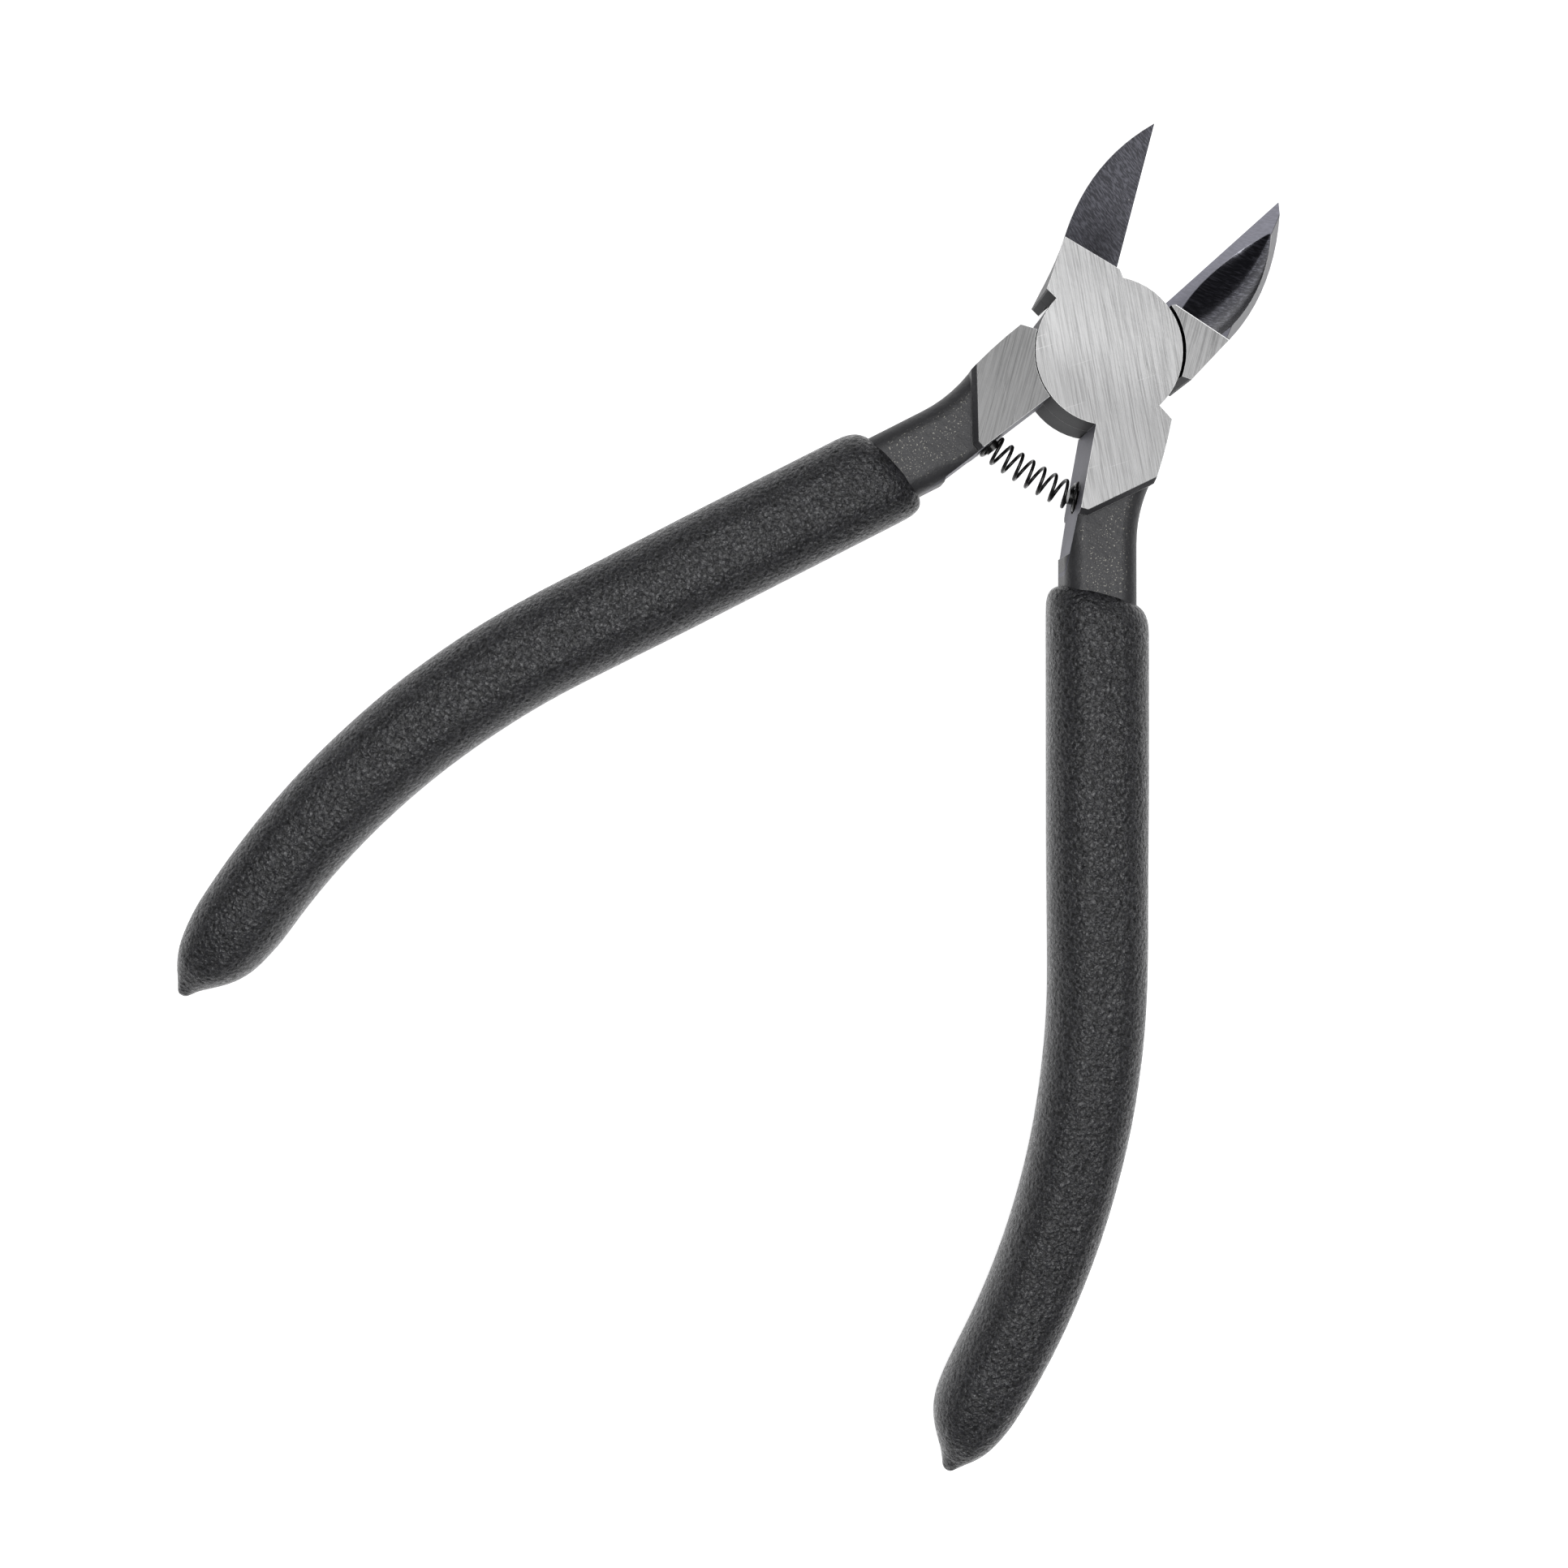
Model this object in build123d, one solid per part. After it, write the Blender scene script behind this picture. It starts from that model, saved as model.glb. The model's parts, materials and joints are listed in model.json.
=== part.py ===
from build123d import *
import math
import os

# Lap-joint flush cutter: two forged levers on a flush rivet, a coil return spring seated
# between the handles on two short pins, and a dipped grip on each handle.
#
# Millimetres and degrees. The origin is on the pivot axis at the rear ground face. +Z runs
# along the pivot to the front ground face, +Y to the jaw tips along the middle of the open
# jaws, and +X to the right. Each lever is drawn closed, with its cutting edge on the YZ plane
# and its jaw to the left, and is then turned open to rest. The rear lever is mirrored first.

# --- motion ---
closing_angle = 33.8          # the rear lever's turn from rest until the edges meet

# --- riveted joint ---
joint_thickness = 8.8         # over both halves of the joint, and over the ground pads
disc_radius = 7.45            # round half-thickness disc of each lever
lap_gap = 0.03                # between the lapped faces of the two discs
pocket_gap = 0.12             # from a disc to the pocket it turns in
jaw_pocket_shift = 0.24       # extra room at the middle of the jaw's pocket
rivet_radius = 2.6
rivet_head_radius = 4.0
rivet_running_gap = 0.03      # radial, where the rear lever turns on the rivet

# --- shoulders that stop the levers when they are spread, closed ---
jaw_shoulder_angle = 150.3    # from +X
handle_shoulder_angle = -32.4
jaw_shoulder_width = 0.21     # how far each shoulder stands out sideways past the disc
handle_shoulder_width = 0.4

# --- jaws, closed: lengths run up from the disc's rim ---
jaw_length = 19.05            # to the tip
edge_gap = 0.02               # each edge from the middle plane
edge_land = 0.25              # height of the flat edge above the rear flush face
edge_start = 2.95             # below it a little light shows between the two jaws
edge_light = 0.08
relief_height = 0.7           # inner corner of the ground pad
relief_width = 1.0
relief_foot = 0.3
pad_corner_height = 2.42      # outer corner of the ground pad
pad_corner_inset = 0.47
belly_height = 10.9           # middle of the jaw's outer curve
belly_width = 5.5             # at the front
flank_draft = 0.8             # the outer side is this much narrower at the rear
face_slope = 42.0             # front lever: one flat from the edge up to the spine
facet_slope = 51.3            # rear lever: narrow facet beside the edge
spine_drop = 23.8             # rear lever: fall of the spine from the pad to the tip
hollow_radius = 7.8           # rear lever: round hollow behind the facet, at its wide end
hollow_half_way = 5.8         # its radius half way to the apex
hollow_centre = (1.38, 1.65, 10.44)
hollow_apex = (-1.63, 15.85, 2.67)

# --- handle pad and neck, closed: lengths run down from the disc's rim ---
pad_side_drop = 1.0           # middle of the pad's outer side
pad_side_width = 7.95
pad_heel_drop = 4.15          # outer end of the pad
pad_heel_width = 7.8
pad_toe_drop = 8.95           # inner end of the pad
pad_toe_width = 2.1
pad_toe_round = 0.7
pad_step = 0.5                # sloped step from the ground pad down to the raw forging
face_angle = 4.2              # the milled inner face leans this far from the middle plane
face_length = 12.95           # length of the milled face
mouth_drop = 15.95            # grip mouth
mouth_centre = 5.75           # handle axis at the mouth, from the middle plane

# --- tang and grip ---
tang_width = 7.4
tang_rounding = 1.9
grip_wall = 1.5               # beside the tang
grip_face_wall = 1.0          # in front of the tang and behind it
grip_roundness = 0.9          # 1 would leave no flats between the rounded edges of a square end
end_taper = 0.7               # grip and tang narrow this much each side along the bend
splay = 14.6                  # the handle's straight run leans out this far
straight_run = 37.6           # mouth to bend
bend_radius = 84.0
bend_turn = 32.3
tang_end_margin = 6.5         # grip material past the end of the tang
neck_run = 5.0                # straight tang above the mouth, before the neck curves out

# --- return spring and its pins ---
spring_drop = 6.9             # spring axis below the disc's rim
spring_radius = 1.5
spring_wire = 0.3
seat_depth = 0.2
seat_gap = 0.2                # round the end coil
spring_pin_gap = 0.4          # from each pin to the coil round it
spring_pin_hole = 2.5
spring_pin_reach = 0.75       # above the milled face

# --- worked out from the above ---
rest_angle = closing_angle / 2
mid = joint_thickness / 2
through = 3 * joint_thickness
grip_width = tang_width + 2 * grip_wall
grip_end_half = grip_width / 2 - end_taper
grip_rounding = grip_roundness * 2 * mid * grip_end_half / (mid + grip_end_half)
tang_thickness = joint_thickness - 2 * grip_face_wall
head_depth = rivet_head_radius - rivet_radius
jaw_reach = disc_radius + jaw_length
spring_distance = disc_radius + spring_drop
spring_pin_radius = spring_radius - spring_wire - spring_pin_gap
relief_corner = Vector(-relief_width, disc_radius + relief_height)
pad_corner = Vector(pad_corner_inset - jaw_shoulder_width - disc_radius,
                    disc_radius + pad_corner_height)
pad_heel = Vector(pad_heel_width, -disc_radius - pad_heel_drop)
pad_toe = Vector(pad_toe_width, -disc_radius - pad_toe_drop)
BASE = (Align.CENTER, Align.CENTER, Align.MIN)
TOP = (Align.CENTER, Align.CENTER, Align.MAX)


def direction(angle):
    """Unit vector in the plane of the tool."""
    return Vector(math.cos(math.radians(angle)), math.sin(math.radians(angle)))


def across(turn=0.0):
    """Across the handle to its outer side, after part of its bend."""
    return direction(splay - turn)


def along(turn=0.0):
    """Down the handle, after part of its bend."""
    return direction(splay - turn - 90)


mouth = Vector(mouth_centre, -disc_radius - mouth_drop)
bend_start = mouth + along() * straight_run
bend_centre = bend_start - across() * bend_radius


def on_bend(turn, offset):
    return bend_centre + across(turn) * (bend_radius + offset)


def handle_strip(half_width, turn):
    """Both sides and the round end of the handle, from the bend's start and back to it."""
    half_end = half_width - end_taper
    half_way = half_width - end_taper / 4
    end = on_bend(turn, 0) + along(turn) * half_end
    inner = ThreePointArc(on_bend(0, -half_width), on_bend(turn / 2, -half_way),
                          on_bend(turn, -half_end))
    cap = ThreePointArc(inner @ 1, end, on_bend(turn, half_end))
    outer = ThreePointArc(cap @ 1, on_bend(turn / 2, half_way), on_bend(0, half_width))
    return inner, cap, outer


def slab(face, bottom, thickness):
    return extrude(Pos(0, 0, bottom) * face, thickness)


def soften_rims(body, rounding):
    """Round both flat faces of a slab over into its sides."""
    faces = body.faces().sort_by(Axis.Z)
    return fillet(faces[0].edges() + faces[-1].edges(), rounding)


def tang():
    """Raw forging: the neck, and the tang inside the grip."""
    half = tang_width / 2
    turn = bend_turn - math.degrees(tang_end_margin / bend_radius)
    inner, cap, outer = handle_strip(half, turn)
    neck = mouth - along() * neck_run + across() * half
    top_inner = mouth - along() * mouth_drop - across() * half
    under_pad = Vector(pad_side_width - tang_rounding, -disc_radius - pad_side_drop)
    neck_curve = TangentArc(neck, pad_heel, tangent=-along())
    outline = [
        Line(top_inner, inner @ 0), inner, cap, outer, Line(outer @ 1, neck), neck_curve,
        TangentArc(pad_heel, under_pad, tangent=neck_curve % 1), Line(under_pad, top_inner)]
    return soften_rims(slab(make_face(outline), grip_face_wall, tang_thickness), tang_rounding)


def inner_face_at(drop):
    """Point of the milled face, a distance below the pivot."""
    return Vector(drop * math.tan(math.radians(face_angle)), -drop)


def milling_cut():
    """Everything beyond the milled inner face of the handle."""
    end = inner_face_at(disc_radius + face_length)
    run_out = end + Vector(-tang_width, -tang_width)
    corners = [(0, 0), end, run_out, (-tang_width, 0)]
    return slab(make_face(Polyline(*corners, close=True)), -joint_thickness, through)


def handle_pad():
    """Ground block between the shoulder and the raw neck."""
    shoulder = direction(handle_shoulder_angle)
    shoulder = shoulder * ((disc_radius + handle_shoulder_width) / shoulder.X)
    side = Vector(pad_side_width, -disc_radius - pad_side_drop)
    toe_in = inner_face_at(-pad_toe.Y)
    outline = [
        Line((0, 0), shoulder), ThreePointArc(shoulder, side, pad_heel),
        Line(pad_heel, pad_toe), Line(pad_toe, toe_in), Line(toe_in, (0, 0))]
    face = make_face(outline)
    toe = face.vertices().sort_by_distance(pad_toe)[0]
    body = slab(fillet(toe, pad_toe_round), 0, joint_thickness)
    faces = body.faces().sort_by(Axis.Z)
    steps = [edge for edge in faces[0].edges() + faces[-1].edges() if on_pad_end(edge)]
    return chamfer(steps, pad_step)


def on_pad_end(edge):
    """Whether an edge of the pad lies beside the raw neck."""
    heel_to_middle = edge.center() - pad_heel
    toe = (pad_toe - pad_heel).normalized()
    return abs(heel_to_middle.X * toe.Y - heel_to_middle.Y * toe.X) < pad_toe_round


def jaw_outline(draft):
    """The jaw and its root, with the outer side drawn in by a draft."""
    shoulder = direction(jaw_shoulder_angle)
    shoulder = shoulder * (-(disc_radius + jaw_shoulder_width) / shoulder.X)
    corner = pad_corner + Vector(draft, 0)
    belly = (draft - belly_width, disc_radius + belly_height)
    tip = (-edge_gap, jaw_reach)
    root = (-edge_light, disc_radius + edge_start)
    foot = (-relief_foot, disc_radius - relief_foot)
    return make_face([
        Line((0, 0), shoulder), Line(shoulder, corner), ThreePointArc(corner, belly, tip),
        Line(tip, root), Line(root, relief_corner), Line(relief_corner, foot),
        Line(foot, (0, 0))])


def jaw_block():
    """Full-thickness jaw with its root, before its front is ground away."""
    rear = jaw_outline(flank_draft)
    front = Pos(0, 0, joint_thickness) * jaw_outline(0)
    return loft([rear, front], ruled=True)


def above(origin, normal):
    """A block that fills everything on one side of a plane."""
    size = 4 * jaw_reach
    return Plane(origin=origin, z_dir=normal) * Box(size, size, size, align=BASE)


pad_edge_out = (relief_corner - pad_corner).normalized().rotate(Axis.Z, 90)


def ahead_of_pad():
    """Everything past the line where the ground pad ends and the jaw's faces begin."""
    return above(pad_corner, pad_edge_out)


def above_edge(slope):
    """Everything above a plane that rises from the cutting edge to the outer side."""
    lean = math.radians(slope)
    return above((0, 0, edge_land), Vector(math.sin(lean), 0, math.cos(lean)))


def flat_grinding():
    """Front lever: the jaw's one flat face."""
    return ahead_of_pad() & above_edge(face_slope)


def hollow_grinding():
    """Rear lever: the falling spine, the facet beside the edge, and the hollow between."""
    fall = math.radians(spine_drop)
    spine = above(Vector(pad_corner.X, pad_corner.Y, joint_thickness),
                  pad_edge_out * math.sin(fall) + Vector(0, 0, math.cos(fall)))
    centre = Vector(*hollow_centre) + Vector(0, disc_radius)
    reach = Vector(*hollow_apex) + Vector(0, disc_radius) - centre
    wide, apex = (hollow_radius, 0), (0, reach.length)
    profile = make_face([Line((0, 0), wide), Line(apex, (0, 0)),
                         ThreePointArc(wide, (hollow_half_way, reach.length / 2), apex)])
    hollow = Plane(origin=centre, z_dir=reach) * revolve(Plane.XZ * profile, Axis.Z)
    return ahead_of_pad() & (spine + above_edge(facet_slope) + hollow)


def spring_seat():
    """Plane of the milled face at the spring, facing out of the handle."""
    centre = direction(face_angle - 90) * spring_distance
    return Plane(origin=(centre.X, centre.Y, mid), x_dir=(0, 0, 1),
                 z_dir=direction(face_angle + 180))


def into_seat(radius, depth):
    """A plug from the milled face into the handle."""
    return spring_seat() * Cylinder(radius, depth, align=TOP)


def rivet():
    """Shank with a flush countersunk head at each face."""
    shank = Cylinder(rivet_radius, joint_thickness, align=BASE)
    rear_head = Cone(rivet_head_radius, rivet_radius, head_depth, align=BASE)
    front_head = Pos(0, 0, joint_thickness) * Rot(180, 0, 0) * rear_head
    return shank + rear_head + front_head


def running_hole():
    """Hole with a rear countersink, wider all over than the rivet that turns in it."""
    bore = Pos(0, 0, -joint_thickness) * Cylinder(
        rivet_radius + rivet_running_gap, through, align=BASE)
    sink = Cone(rivet_head_radius + rivet_running_gap * math.sqrt(2),
                rivet_radius + rivet_running_gap,
                head_depth + rivet_running_gap * (math.sqrt(2) - 1), align=BASE)
    return bore + sink


def disc(bottom, top, radius=disc_radius):
    return Pos(0, 0, bottom) * Cylinder(radius, top - bottom, align=BASE)


def lever(lever_disc, pocket, jaw_grinding, hole):
    """One forged lever, closed, with its jaw to the left."""
    jaw_side = direction((90 + jaw_shoulder_angle) / 2) * jaw_pocket_shift
    body = tang() + handle_pad() - milling_cut() + (jaw_block() - jaw_grinding)
    body = body - pocket - Pos(*jaw_side) * pocket + lever_disc - hole
    seat = into_seat(spring_radius + seat_gap, seat_depth)
    return body - seat - into_seat(spring_pin_radius, spring_pin_hole)


def front_lever():
    """Its disc is the front one, and it grips the rivet."""
    bottom = mid + lap_gap / 2
    pocket = disc(-joint_thickness, bottom, disc_radius + pocket_gap)
    return lever(disc(bottom, joint_thickness), pocket, flat_grinding(), rivet())


def rear_lever():
    """Its disc is the rear one, and it turns on the rivet."""
    top = mid - lap_gap / 2
    pocket = disc(top, 2 * joint_thickness, disc_radius + pocket_gap)
    return lever(disc(0, top), pocket, hollow_grinding(), running_hole())


def spring_pin():
    """Short pin in the handle, standing a little way into the spring's end."""
    length = spring_pin_hole + spring_pin_reach
    return spring_seat() * Pos(0, 0, spring_pin_reach) * Cylinder(
        spring_pin_radius, length, align=TOP)


def grip():
    """Dipped sleeve: closed round end, and a mouth square to the middle plane."""
    half = grip_width / 2
    inner, cap, outer = handle_strip(half, bend_turn)
    start = mouth - along() * grip_width
    outline = [
        Line(start - across() * half, inner @ 0), inner, cap, outer,
        Line(outer @ 1, start + across() * half),
        Line(start + across() * half, start - across() * half)]
    body = soften_rims(slab(make_face(outline), 0, joint_thickness), grip_rounding)
    return body - above(mouth, (0, 1, 0)) - tang()


def open_front(shape):
    """Turn a closed front piece to its place at rest."""
    return Rot(0, 0, rest_angle) * shape


def open_rear(shape):
    """Mirror a closed piece and turn it to its place at rest."""
    return Rot(0, 0, -rest_angle) * mirror(shape, Plane.YZ)


def return_spring():
    """Outer shape of the coil, bowed round the pivot from one seat to the other."""
    half_sweep = rest_angle + face_angle + math.degrees(spring_radius / spring_distance)
    start = direction(-90 - half_sweep)
    section = Plane(origin=(start.X * spring_distance, start.Y * spring_distance, mid),
                    x_dir=start, z_dir=start.rotate(Axis.Z, 90))
    ring = Circle(spring_radius) - Circle(spring_radius - spring_wire)
    tube = revolve(section * ring, Axis.Z, 2 * half_sweep)
    seat = spring_seat()
    handle_side = above(seat.origin - seat.z_dir * seat_depth, -seat.z_dir)
    return tube - open_front(handle_side) - open_rear(handle_side)


nodes = {
    "front_lever": open_front(front_lever()),
    "rear_lever": open_rear(rear_lever()),
    "pivot_rivet": rivet(),
    "front_spring_pin": open_front(spring_pin()),
    "rear_spring_pin": open_rear(spring_pin()),
    "return_spring": return_spring(),
    "front_grip": open_front(grip()),
    "rear_grip": open_rear(grip()),
}

os.makedirs("parts", exist_ok=True)
for name, shape in nodes.items():
    export_step(shape, "parts/" + name + ".step")
    print(name, len(shape.solids()), round(shape.volume, 2))
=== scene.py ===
import json
import math

import bpy
from mathutils import Matrix, Vector


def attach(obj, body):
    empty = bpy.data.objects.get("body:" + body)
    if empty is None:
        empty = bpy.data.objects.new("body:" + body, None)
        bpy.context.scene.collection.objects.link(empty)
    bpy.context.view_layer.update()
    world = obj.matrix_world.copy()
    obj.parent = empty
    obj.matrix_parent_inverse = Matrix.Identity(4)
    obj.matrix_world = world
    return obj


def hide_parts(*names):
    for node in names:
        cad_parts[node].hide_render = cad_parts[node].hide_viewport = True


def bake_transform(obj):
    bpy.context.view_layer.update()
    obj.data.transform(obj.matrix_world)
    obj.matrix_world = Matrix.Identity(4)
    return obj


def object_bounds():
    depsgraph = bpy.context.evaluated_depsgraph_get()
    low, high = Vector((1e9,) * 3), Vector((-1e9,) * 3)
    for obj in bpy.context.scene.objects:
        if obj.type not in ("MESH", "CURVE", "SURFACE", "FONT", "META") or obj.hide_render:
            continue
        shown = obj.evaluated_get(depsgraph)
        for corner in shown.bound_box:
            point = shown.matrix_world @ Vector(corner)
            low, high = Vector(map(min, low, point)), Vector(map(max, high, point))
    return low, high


# Lap-joint flush cutter. The forged levers, the rivet and the spring's pins are the packed
# parts with a finish on each. The dipped grips and the coil are modelled here.
# Metres. +Z is the pivot's axis, and +Y runs from the pivot to the jaw tips.

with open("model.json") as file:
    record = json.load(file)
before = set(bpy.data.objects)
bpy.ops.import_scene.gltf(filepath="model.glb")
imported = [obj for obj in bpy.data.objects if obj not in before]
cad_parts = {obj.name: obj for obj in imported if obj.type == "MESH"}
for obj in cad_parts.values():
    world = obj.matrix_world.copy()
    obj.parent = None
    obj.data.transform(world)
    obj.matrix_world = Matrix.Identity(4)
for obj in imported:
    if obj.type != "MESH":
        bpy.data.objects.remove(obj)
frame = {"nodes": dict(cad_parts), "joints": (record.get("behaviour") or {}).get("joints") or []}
cad_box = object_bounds()
nodes = frame["nodes"]
pivot = frame["joints"][0]

MM = 0.001
UP = Vector((0, 0, 1))
thickness = cad_box[1].z - cad_box[0].z
middle = thickness / 2
rest_turn = math.radians(pivot["range_deg"][1]) / 2   # each lever, from closed to rest


# --- sizes of the handle, as the levers are forged, with the levers closed ---
splay = math.radians(14.6)
mouth_centre = Vector((5.75, -23.4, 0)) * MM + UP * middle
straight_run = 37.6 * MM
bend_radius = 84 * MM
bend_turn = math.radians(32.3)


# --- where the jaws and the pads are cut, on a closed front lever ---
edge_land = 0.25 * MM
pad_corner = Vector((-7.19, 9.87)) * MM     # outer corner of the jaw's ground pad
relief_corner = Vector((-1.0, 8.15)) * MM   # its inner corner
pad_end = relief_corner - pad_corner
pad_line = math.atan2(-pad_end.y, pad_end.x)
pad_line_run = pad_corner.y * math.cos(pad_line) + pad_corner.x * math.sin(pad_line)
facet_slope = {1: math.radians(42), -1: math.radians(51.3)}
spine_drop = math.radians(23.8)
face_lean = math.radians(4.2)
seat_depth = 0.2 * MM
grind_turn = {1: math.radians(-25), -1: math.radians(33)}
milled_top = -7 * MM
joint_reach = 8.6 * MM                      # the discs' sides and the shoulders lie within it
rivet_ring = 4.2 * MM
face_tolerance = 0.03 * MM                  # how far from its plane a point is still on a face


def turned(angle):
    return Matrix.Rotation(angle, 3, "Z")


def across(turn=0.0):
    """Across the handle to its outer side, after part of its bend."""
    return Vector((math.cos(splay - turn), math.sin(splay - turn), 0))


def along(turn=0.0):
    """Down the handle, after part of its bend."""
    return Vector((math.sin(splay - turn), -math.cos(splay - turn), 0))


bend_start = mouth_centre + along() * straight_run
bend_centre = bend_start - across() * bend_radius


def on_handle(run):
    """Middle of the handle and its turn, a run down from the mouth."""
    turn = min(max((run - straight_run) / bend_radius, 0), bend_turn)
    if run <= straight_run:
        return mouth_centre + along() * run, 0.0
    past_bend = run - straight_run - bend_radius * turn
    return bend_centre + across(turn) * bend_radius + along(turn) * past_bend, turn


# --- modelling by hand ---

def start_fresh():
    """Nothing selected, so that no operator acts on another piece."""
    for thing in bpy.context.selected_objects:
        thing.select_set(False)


def named(name):
    piece = bpy.context.object
    piece.name = name
    piece.data.name = name
    return piece


def pick(piece):
    """Select this piece alone, and make it the active one."""
    start_fresh()
    piece.select_set(True)
    bpy.context.view_layer.objects.active = piece


def edit(piece):
    pick(piece)
    bpy.ops.object.mode_set(mode="EDIT")


def done():
    bpy.ops.object.mode_set(mode="OBJECT")


def select_vertices(piece, wanted):
    """In edit mode: select the vertices for which wanted() holds."""
    bpy.ops.mesh.select_mode(type="VERT")
    bpy.ops.mesh.select_all(action="DESELECT")
    done()
    for vertex in piece.data.vertices:
        vertex.select = wanted(vertex)
    bpy.ops.object.mode_set(mode="EDIT")


def apply_modifier(piece, kind, **settings):
    pick(piece)
    modifier = piece.modifiers.new(kind.title(), kind)
    for key, value in settings.items():
        setattr(modifier, key, value)
    bpy.ops.object.modifier_apply(modifier=modifier.name)


def freeze(piece):
    """Put the piece's place and turn into its mesh."""
    pick(piece)
    bpy.ops.object.transform_apply(location=True, rotation=True, scale=True)


def cover(piece, finish):
    piece.data.materials.clear()
    piece.data.materials.append(finish)


def face_outwards(piece):
    edit(piece)
    bpy.ops.mesh.select_all(action="SELECT")
    bpy.ops.mesh.remove_doubles(threshold=1e-6)
    bpy.ops.mesh.normals_make_consistent(inside=False)
    done()


# --- dipped grips ---
# Rings down the grip: run from the mouth, then how far the inner side, the outer side and the
# front and rear stand out from the middle of the handle, in millimetres.
grip_rings = [
    (-4, 5.2, 5.2, 4.4), (0, 5.2, 5.2, 4.4), (5, 5.2, 5.2, 4.4), (12, 5.2, 5.2, 4.4),
    (19, 5.2, 5.2, 4.4), (26, 5.2, 5.15, 4.4), (32, 5.15, 5.1, 4.4), (37, 5.1, 5.1, 4.4),
    (41, 5.05, 5.05, 4.4), (45, 5.0, 5.05, 4.4), (49, 4.95, 5.0, 4.4), (53, 4.85, 5.0, 4.4),
    (57, 4.75, 4.95, 4.4), (61, 4.65, 4.9, 4.4), (65, 4.55, 4.9, 4.4), (69, 4.45, 4.85, 4.4),
    (73, 4.35, 4.85, 4.4), (77, 4.25, 4.8, 4.4), (81, 4.2, 4.75, 4.38),
]
# The rounded end and its drip: run up from the tip.
grip_end_rings = [
    (8.2, 3.95, 4.7, 4.3), (6.2, 3.6, 4.5, 4.1), (4.6, 2.95, 4.2, 3.75), (3.4, 2.1, 3.8, 3.25),
    (2.4, 1.1, 3.3, 2.55), (1.6, 0.2, 2.8, 1.85), (1.0, -0.35, 2.45, 1.35), (0.5, -0.7, 2.2, 1.0),
    (0.15, -0.95, 2.0, 0.65), (0, -1.25, 1.75, 0.3),
]
grip_rounding = 4.0 * MM
lip_height = 2.4 * MM
# The lip at the mouth: rise, then how far it has drawn in at the sides and at the front.
lip_rings = [(0.8, 0.06, 0.12), (0.7, 0.2, 0.26), (0.5, 0.34, 0.3), (0.3, 0.5, 0.28),
             (0.1, 0.5, 0.2)]


class Ring:
    """A section of the grip, with its middle, its turn and its half width and half depth."""

    def __init__(self, run, inner, outer, face):
        centre, self.turn = on_handle(run * MM)
        self.centre = centre + across(self.turn) * (outer - inner) / 2 * MM
        self.width = (inner + outer) / 2 * MM
        self.face = face * MM


def extrude_to(last, ring):
    """Extrude the selected end face to the next section."""
    bpy.ops.mesh.extrude_region_move(
        TRANSFORM_OT_translate={"value": ring.centre - last.centre})
    # With no window the rotate operator turns the other way.
    bpy.ops.transform.rotate(value=ring.turn - last.turn, orient_axis="Z",
                             center_override=ring.centre)
    bpy.ops.transform.resize(
        value=(ring.width / last.width, 1, ring.face / last.face),
        orient_matrix=turned(splay - ring.turn), orient_matrix_type="GLOBAL",
        center_override=ring.centre)


def dipped_grip(name, tip_run):
    """One grip on a closed front handle: sleeve, lip at the mouth, round end with its drip."""
    rings = [Ring(*ring) for ring in grip_rings]
    rings += [Ring(tip_run - up, *ring) for up, *ring in grip_end_rings]
    start_fresh()
    bpy.ops.mesh.primitive_plane_add(size=2, location=rings[0].centre,
                                     rotation=(math.radians(90), 0, splay))
    piece = named(name)
    piece.scale = (rings[0].width, rings[0].face, 1)
    freeze(piece)
    edit(piece)
    bpy.ops.mesh.select_all(action="SELECT")
    bpy.ops.mesh.bevel(offset=grip_rounding, affect="VERTICES", segments=9)
    for last, ring in zip(rings, rings[1:]):
        extrude_to(last, ring)
    bpy.ops.mesh.inset(thickness=0.1 * MM)
    bpy.ops.mesh.merge(type="CENTER")

    # Trim the top square to the middle plane of the tool, and roll the lip over to the tang.
    lip_foot = mouth_centre - Vector((0, lip_height, 0))
    bpy.ops.mesh.select_all(action="SELECT")
    bpy.ops.mesh.bisect(plane_co=lip_foot, plane_no=(0, 1, 0), clear_outer=True,
                        use_fill=True)
    width = rings[0].width / math.cos(splay)
    face = rings[0].face
    centre = mouth_centre + along() * lip_height / math.cos(splay)
    for rise, side_in, face_in in lip_rings:
        step = along() * -rise * MM
        centre += step
        bpy.ops.mesh.extrude_region_move(TRANSFORM_OT_translate={"value": step})
        bpy.ops.transform.resize(
            value=(1 - side_in * MM / width, 1, 1 - face_in * MM / face),
            center_override=centre)
        width -= side_in * MM
        face -= face_in * MM
    done()
    face_outwards(piece)
    return piece


def seat_on_tang(piece, lever):
    """Cut the tang's room out of the grip."""
    start_fresh()
    nodes[lever].select_set(True)
    bpy.context.view_layer.objects.active = nodes[lever]
    bpy.ops.object.duplicate()
    tang = bpy.context.object
    tang.parent = None
    face_outwards(tang)
    apply_modifier(piece, "BOOLEAN", operation="DIFFERENCE", object=tang, solver="EXACT")
    bpy.data.objects.remove(tang)


def grip(name, lever, body, tip_run, mirrored):
    piece = dipped_grip(name, tip_run)
    apply_modifier(piece, "SUBSURF", levels=2, render_levels=2)
    if mirrored:
        piece.scale.x = -1
        freeze(piece)
        face_outwards(piece)
    piece.rotation_euler.z = -rest_turn if mirrored else rest_turn
    freeze(piece)
    seat_on_tang(piece, lever)
    face_outwards(piece)
    pick(piece)
    bpy.ops.object.shade_smooth_by_angle(angle=math.radians(40))
    cover(piece, vinyl)
    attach(piece, body)
    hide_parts(body.replace("half", "grip"))


# --- finishes ---

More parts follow.
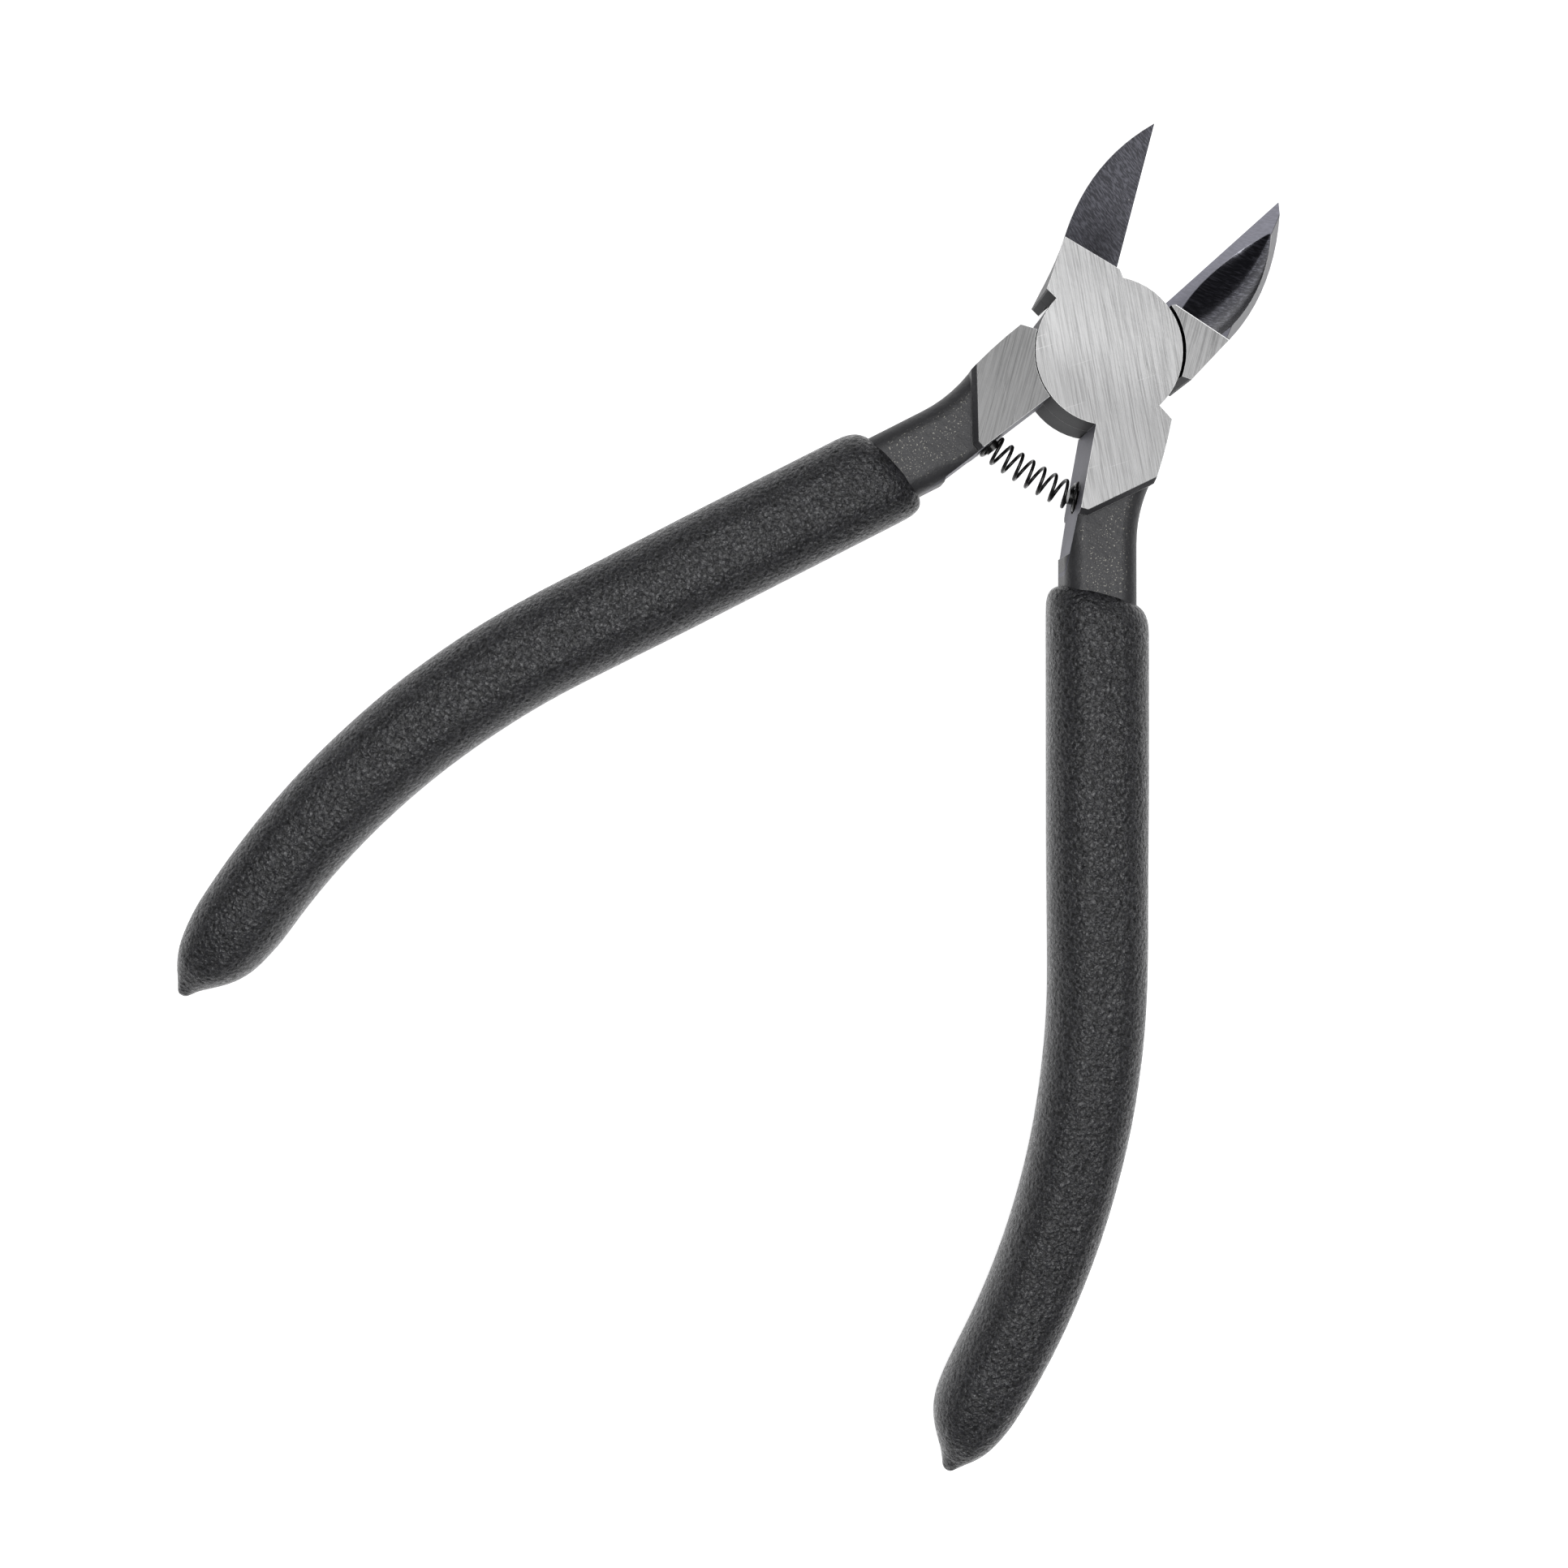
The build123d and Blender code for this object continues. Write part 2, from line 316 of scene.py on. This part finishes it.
class Finish:
    """A material built node by node. A value is a number, a colour or a node's output."""

    def __init__(self, name, **constants):
        self.material = bpy.data.materials.new(name)
        self.material.use_nodes = True
        self.tree = self.material.node_tree
        self.shader = self.tree.nodes["Principled BSDF"]
        for socket, value in constants.items():
            self.shader.inputs[socket.replace("_", " ")].default_value = value

    def node(self, kind, *values, **settings):
        node = self.tree.nodes.new("ShaderNode" + kind)
        for key, value in settings.items():
            setattr(node, key, value)
        for socket, value in zip(node.inputs, values):
            self.feed(socket, value)
        return node

    def feed(self, socket, value):
        if isinstance(value, bpy.types.NodeSocket):
            self.tree.links.new(value, socket)
        elif value is not None:
            socket.default_value = value

    def set(self, socket, value):
        self.feed(self.shader.inputs[socket], value)

    def math(self, operation, *values):
        return self.node("Math", *values, operation=operation).outputs[0]

    def ramp(self, value, low, high, to_low=0.0, to_high=1.0):
        """Smooth step of a value between two limits."""
        return self.node("MapRange", value, low, high, to_low, to_high,
                         interpolation_type="SMOOTHSTEP").outputs[0]

    def mix(self, amount, first, second):
        """One colour over another."""
        node = self.node("Mix", data_type="RGBA")
        for socket, value in ((0, amount), (6, first), (7, second)):
            self.feed(node.inputs[socket], value)
        return node.outputs[2]

    def between(self, amount, first, second):
        """One number over another."""
        node = self.node("Mix")
        for socket, value in ((0, amount), (2, first), (3, second)):
            self.feed(node.inputs[socket], value)
        return node.outputs[0]

    def place(self, turn=0.0, stretch=(1, 1, 1)):
        """Object coordinates, scaled and then turned about the pivot's axis."""
        coordinates = self.node("TexCoord").outputs["Object"]
        return self.node("Mapping", coordinates, (0, 0, 0), (0, 0, turn), stretch).outputs[0]

    def stretched(self, place, turn, stretch):
        turned_place = self.node("Mapping", place, (0, 0, 0), (0, 0, turn), (1, 1, 1))
        return self.node("Mapping", turned_place.outputs[0], (0, 0, 0), (0, 0, 0),
                         stretch).outputs[0]

    def noise(self, place, scale, detail=2.0, roughness=0.5, distortion=0.0):
        node = self.node("TexNoise", place)
        for socket, value in (("Scale", scale), ("Detail", detail), ("Roughness", roughness),
                              ("Distortion", distortion)):
            node.inputs[socket].default_value = value
        return node.outputs["Fac"]

    def bump(self, height, depth, under=None):
        """Relief from a height of 0 to 1 and its depth in metres."""
        node = self.node("Bump")
        node.inputs["Strength"].default_value = 1
        node.inputs["Distance"].default_value = depth
        self.feed(node.inputs["Height"], height)
        self.feed(node.inputs["Normal"], under)
        return node.outputs[0]


def grey(level, blue=1.0):
    return (level, level, level * blue, 1)


def grip_finish():
    """Dipped vinyl with a fine pebbled grain."""
    made = Finish("dipped vinyl", Metallic=0, IOR=1.46)
    place = made.place()
    grain = made.noise(place, 2800, 3, 0.55, 0.8)
    pebbles = made.node("TexVoronoi", place, feature="SMOOTH_F1")
    pebbles.inputs["Scale"].default_value = 2500
    cloudy = made.noise(place, 120, 3)
    # The grain's tone is painted darker in its valleys and lighter on its peaks: painted shade
    # and painted highlight on the relief.
    pebble_painted_shading = made.mix(made.ramp(grain, 0.38, 0.62), grey(0.002, 1.1), grey(0.035, 1.1))
    made.set("Base Color", made.mix(made.math("MULTIPLY", cloudy, 0.4), pebble_painted_shading,
                                    grey(0.008, 1.1)))
    made.set("Roughness", made.ramp(grain, 0.38, 0.62, 0.42, 0.2))
    height = made.math("MULTIPLY_ADD", pebbles.outputs["Distance"], -0.7, grain)
    made.set("Normal", made.bump(height, 0.17 * MM))
    return made.material


def edge_wear_and_highlight(made, radius):
    """1 along the sharp edges, and 0 on the flats."""
    rounded = made.node("Bevel", samples=6)
    rounded.inputs["Radius"].default_value = radius
    flat = made.node("NewGeometry").outputs["True Normal"]
    likeness = made.node("VectorMath", rounded.outputs[0], flat, operation="DOT_PRODUCT")
    return made.ramp(likeness.outputs["Value"], 0.97, 0.85)


def specks(made, place, scale, size, rarity):
    """Small round marks, scattered."""
    cells = made.node("TexVoronoi", place, feature="F1")
    cells.inputs["Scale"].default_value = scale
    chosen = made.node("SeparateColor", cells.outputs["Color"]).outputs[0]
    here = made.math("GREATER_THAN", chosen, rarity)
    return made.math("MULTIPLY", here, made.ramp(cells.outputs["Distance"], size, size / 2))


def near(made, value, limit):
    """1 where a distance from a surface is smaller than a limit."""
    return made.ramp(made.math("ABSOLUTE", value), 1.6 * limit, limit)


def slope_distance(made, rise, run, slope):
    """Distance from a plane that climbs at a slope, from heights and runs in metres."""
    high = made.math("MULTIPLY", rise, math.cos(slope))
    return made.math("MULTIPLY_ADD", run, math.sin(slope), high)


def steel_finish(name, side, pad_level, handle_dimming, border_highlight_level, flat_level,
                 flat_streaks):
    """A forging: raw neck, milled and ground faces. side is 1 for front, and -1 for rear.

    The handle's pad is dimmer than the jaw's, the jaw's pad has a painted highlight along its
    border, and the flat beside the edge varies by flat_streaks.
    """
    made = Finish(name)
    place = made.place(-rest_turn, (side, 1, 1))
    x, y, z = made.node("SeparateXYZ", place).outputs
    radius = made.node("VectorMath", made.node("CombineXYZ", x, y, 0.0).outputs[0],
                       operation="LENGTH").outputs["Value"]
    facing = made.node("VectorTransform", made.node("NewGeometry").outputs["True Normal"],
                       vector_type="NORMAL", convert_from="WORLD", convert_to="OBJECT")
    facing = made.node("Mapping", facing.outputs[0], None, (0, 0, -rest_turn), (side, 1, 1),
                       vector_type="VECTOR").outputs[0]
    sideways, _, up = made.node("SeparateXYZ", facing).outputs
    flank = made.math("LESS_THAN", sideways, -0.8)

    # Where each kind of surface is.
    low = made.math("SUBTRACT", cad_box[1].z, z)
    ground = made.math("MAXIMUM", near(made, low, face_tolerance),
                       near(made, z, face_tolerance))
    ahead = made.math("MULTIPLY_ADD", x, math.sin(pad_line),
                      made.math("MULTIPLY", y, math.cos(pad_line)))
    ahead = made.math("SUBTRACT", ahead, pad_line_run)
    jaw = made.math("GREATER_THAN", ahead, 0.0)
    rise = made.math("SUBTRACT", z, edge_land)
    facet = near(made, slope_distance(made, rise, x, facet_slope[side]), face_tolerance)
    spine = near(made, slope_distance(made, made.math("MULTIPLY", low, -1.0), ahead, spine_drop),
                 face_tolerance)
    milled = made.math("MULTIPLY", made.math("LESS_THAN", y, milled_top), near(
        made, slope_distance(made, x, y, face_lean), face_tolerance))
    joint = made.math("LESS_THAN", radius, joint_reach)

    # Marks left by grinding, milling and forging.
    wheel = made.stretched(place, grind_turn[side], (7000, 150, 0))
    lines = made.noise(wheel, 1, 3, 0.6)
    bands = made.noise(made.stretched(place, grind_turn[side], (1900, 60, 0)), 1, 2)
    cross = made.noise(made.stretched(place, math.radians(110), (7000, 260, 2000)), 1, 3, 0.6)
    scale_skin = made.noise(place, 1500, 4, 0.65)
    blotches = made.noise(place, 260, 3)
    dust = made.ramp(made.noise(place, 6000, 2, 0.6), 0.62, 0.69)
    chips = specks(made, place, 1400, 0.16, 0.965)
    scratches = made.ramp(made.noise(made.stretched(place, 1.0, (5000, 90, 0)), 1, 1), 0.72, 0.78)
    pits = specks(made, made.stretched(place, 0, (1, 0.5, 1)), 3200, 0.35, 0.8)

    ground_colour = made.mix(made.ramp(lines, 0.36, 0.64), grey(pad_level * 0.62),
                             grey(pad_level * 1.28))
    ground_colour = made.mix(made.ramp(bands, 0.35, 0.65, 0, 0.3), ground_colour,
                             grey(pad_level * 1.3))
    ground_colour = made.mix(made.math("MULTIPLY", scratches, 0.35), ground_colour,
                             grey(pad_level * 1.9))
    ground_colour = made.mix(made.ramp(y, 2 * MM, -6 * MM, 0, handle_dimming), ground_colour,
                             grey(0))
    # A thin bright line along the pad's border is a painted highlight, where a small chamfer
    # would catch the light.
    painted_border_highlight = made.math("MULTIPLY", near(made, ahead, 0.05 * MM), border_highlight_level)
    ground_colour = made.mix(painted_border_highlight, ground_colour, grey(0.6))
    raw_colour = made.mix(blotches, (0.02, 0.02, 0.022, 1), (0.05, 0.05, 0.052, 1))
    flat_top = made.ramp(up, 0.9, 0.99)
    dusty = made.math("MULTIPLY", made.math("MULTIPLY", dust, flat_top),
                      made.ramp(blotches, 0.38, 0.55))
    raw_colour = made.mix(dusty, raw_colour, (0.34, 0.33, 0.29, 1))
    facet_colour = made.mix(made.ramp(cross, 0.4, 0.66),
                            grey(flat_level * (1 - flat_streaks), 1.16),
                            grey(flat_level * (1 + 1.6 * flat_streaks), 1.16))
    facet_colour = made.mix(made.math("MULTIPLY", chips, 2 * flat_streaks), facet_colour,
                            grey(0.5))
    milled_colour = made.mix(pits, (0.08, 0.08, 0.1, 1), grey(0.008))
    milled_colour = made.mix(made.ramp(blotches, 0.4, 0.65, 0, 0.5), milled_colour,
                             (0.045, 0.045, 0.058, 1))
    hollow = made.mix(made.ramp(cross, 0.45, 0.7), grey(0.04, 1.15), grey(0.12, 1.15))

    # A near-black line along the middle of the disc side is painted shade in the seam where the
    # two levers lap.
    painted_lap_shade = near(made, made.math("SUBTRACT", z, middle), 0.08 * MM)
    disc_side = made.mix(blotches, grey(0.012, 1.1), grey(0.03, 1.1))

    colour, roughness = raw_colour, 0.5
    for here, surface, polish in (
            (joint, made.mix(painted_lap_shade, disc_side, grey(0.002)), 0.6),
            (milled, milled_colour, 0.5),
            (jaw, hollow, 0.2),
            (made.math("MULTIPLY", jaw, flank), grey(0.2), 0.4),
            (made.math("MULTIPLY", jaw, spine), grey(0.8), 0.5),
            (made.math("MULTIPLY", jaw, facet), facet_colour, 0.36),
            (ground, ground_colour, made.ramp(lines, 0.3, 0.7, 0.3, 0.4))):
        colour = made.mix(here, colour, surface)
        roughness = made.between(here, roughness, polish)
    off_rivet = made.ramp(radius, rivet_ring, rivet_ring + 0.2 * MM, 0, 0.6)
    # Sharp edges are lightened toward grey 0.5: partly real wear and burrs, partly painted
    # highlight where small chamfers would catch the light.
    worn_and_highlit_edges = made.math("MULTIPLY", edge_wear_and_highlight(made, 0.09 * MM), off_rivet)
    made.set("Base Color", made.mix(worn_and_highlit_edges, colour, grey(0.5)))
    made.set("Roughness", roughness)
    cut = made.math("MAXIMUM", made.math("MAXIMUM", ground, milled),
                    made.math("MAXIMUM", jaw, joint))
    made.set("Metallic", made.ramp(cut, 0, 1, 0.35, 1))

    skin = made.math("MULTIPLY", scale_skin, made.ramp(cut, 0, 1, 1, 0.08))
    relief = made.bump(skin, 0.09 * MM)
    scored = made.math("MULTIPLY", lines, ground)
    made.set("Normal", made.bump(scored, 0.006 * MM, relief))
    return made.material


def wire_finish():
    """Black oiled music wire."""
    made = Finish("spring wire", Metallic=0.6, IOR=1.6)
    place = made.place()
    drawn = made.noise(place, 4000, 3)
    made.set("Base Color", made.mix(drawn, grey(0.008), grey(0.022)))
    made.set("Roughness", made.ramp(drawn, 0.3, 0.7, 0.2, 0.34))
    made.set("Normal", made.bump(drawn, 0.01 * MM))
    return made.material


vinyl = grip_finish()
front_steel = steel_finish("front lever steel", 1, 0.235, 0.27, 0.1, 0.1, 0.4)
rear_steel = steel_finish("rear lever steel", -1, 0.18, 0.45, 0.8, 0.19, 0.08)
wire = wire_finish()

for name, finish in (("front_lever", front_steel), ("rear_lever", rear_steel),
                     ("pivot_rivet", front_steel), ("front_spring_pin", wire),
                     ("rear_spring_pin", wire)):
    cover(nodes[name], finish)


# --- return spring ---
# Its ends lie on the milled faces, square to the line from the pivot.
seat_angle = rest_turn + face_lean
seat_radius = 14.35 * MM
coil_radius = 1.315 * MM                    # to the middle of the wire
wire_radius = 0.185 * MM
coil_pitch = 1.4 * MM
coil_turns = 8.25
closed_turns = 0.75                         # at each end
closed_share = 0.6                          # of the open pitch
points_per_turn = 32
bow = 1.6 * MM                              # how far each end holds its direction


def seat_point(side, lift):
    """A point over a seat's bottom, with its direction away from the seat."""
    outwards = Vector((-side * math.cos(seat_angle), -math.sin(seat_angle), 0))
    seat = Vector((side * math.sin(seat_angle), -math.cos(seat_angle), 0)) * seat_radius
    return seat + outwards * (lift - seat_depth) + UP * middle, outwards


def bowed_path():
    """The line that the coil's middle follows from the rear seat to the front one."""
    start_fresh()
    bpy.ops.curve.primitive_bezier_curve_add()
    path = bpy.context.object
    path.data.resolution_u = 64
    path.data.use_stretch = True
    path.data.use_deform_bounds = True
    for point, side in zip(path.data.splines[0].bezier_points, (-1, 1)):
        point.handle_left_type = point.handle_right_type = "FREE"
        point.co, outwards = seat_point(side, wire_radius)
        inner_handle = point.co + outwards * bow
        outer_handle = point.co - outwards * bow
        point.handle_right = inner_handle if side < 0 else outer_handle
        point.handle_left = outer_handle if side < 0 else inner_handle
    return path


def return_coil():
    """A vertex screwed into a helix, its end turns pressed closed, bowed, and made wire."""
    start_fresh()
    bpy.ops.mesh.primitive_plane_add(size=coil_radius)
    piece = named("return_coil")
    edit(piece)
    bpy.ops.mesh.select_all(action="SELECT")
    bpy.ops.mesh.merge(type="CENTER")
    bpy.ops.transform.translate(value=(0, 0, coil_radius))
    done()
    steps = int(coil_turns * points_per_turn)
    length = coil_turns * coil_pitch
    apply_modifier(piece, "SCREW", axis="X", angle=2 * math.pi * coil_turns, iterations=1,
                   steps=steps, render_steps=steps, screw_offset=length)
    edit(piece)
    closed = closed_turns * coil_pitch
    runs = [vertex.co.x for vertex in piece.data.vertices]
    for end, way in ((min(runs), 1), (max(runs), -1)):
        turn_start = end + way * closed
        select_vertices(piece, lambda vertex: (vertex.co.x - turn_start) * way < 0)
        bpy.ops.transform.resize(value=(closed_share, 1, 1), center_override=(turn_start, 0, 0))
    done()
    path = bowed_path()
    apply_modifier(piece, "CURVE", object=path, deform_axis="POS_X")
    bpy.data.objects.remove(path)
    pick(piece)
    bpy.ops.object.convert(target="CURVE")
    piece.data.bevel_depth = wire_radius
    piece.data.bevel_resolution = 3
    piece.data.use_fill_caps = True
    bpy.ops.object.convert(target="MESH")
    face_outwards(piece)
    bpy.ops.object.shade_smooth_by_angle(angle=math.radians(50))
    cover(piece, wire)
    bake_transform(piece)
    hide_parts("return_spring")


return_coil()
grip("front_dipped_grip", "front_lever", "front_half", 92.4, mirrored=False)
grip("rear_dipped_grip", "rear_lever", "rear_half", 90.6, mirrored=True)

# --- floor, light and camera ---
start_fresh()
bpy.ops.mesh.primitive_plane_add(size=6, location=(0, 0, cad_box[0].z - 0.02 * MM))
floor = named("floor")
floor_paint = Finish("white floor", Roughness=0.9, Base_Color=grey(0.9), Specular_IOR_Level=0.2,
                     Emission_Color=grey(1), Emission_Strength=0.75)
floor.data.materials.append(floor_paint.material)

world = bpy.data.worlds.new("studio")
world.use_nodes = True
world.node_tree.nodes["Background"].inputs["Color"].default_value = grey(0.14, 1.08)
bpy.context.scene.world = world

lamp = bpy.data.lights.new("overhead softbox", "AREA")
lamp.shape = "DISK"
lamp.size = 0.46
lamp.energy = 2.6
softbox = bpy.data.objects.new("overhead softbox", lamp)
bpy.context.scene.collection.objects.link(softbox)
softbox.location = (0, -0.02, 0.55)

camera = bpy.data.cameras.new("camera")
camera.lens = 44.31
camera.sensor_width = 36
camera.clip_start = 0.01
viewpoint = bpy.data.objects.new("camera", camera)
bpy.context.scene.collection.objects.link(viewpoint)
viewpoint.location = Vector((-14.23, -57.51, 200.67)) * MM
viewpoint.rotation_euler = [math.radians(angle) for angle in (-0.506, -2.817, 31.362)]
bpy.context.scene.camera = viewpoint
bpy.context.scene.view_settings.view_transform = "Standard"
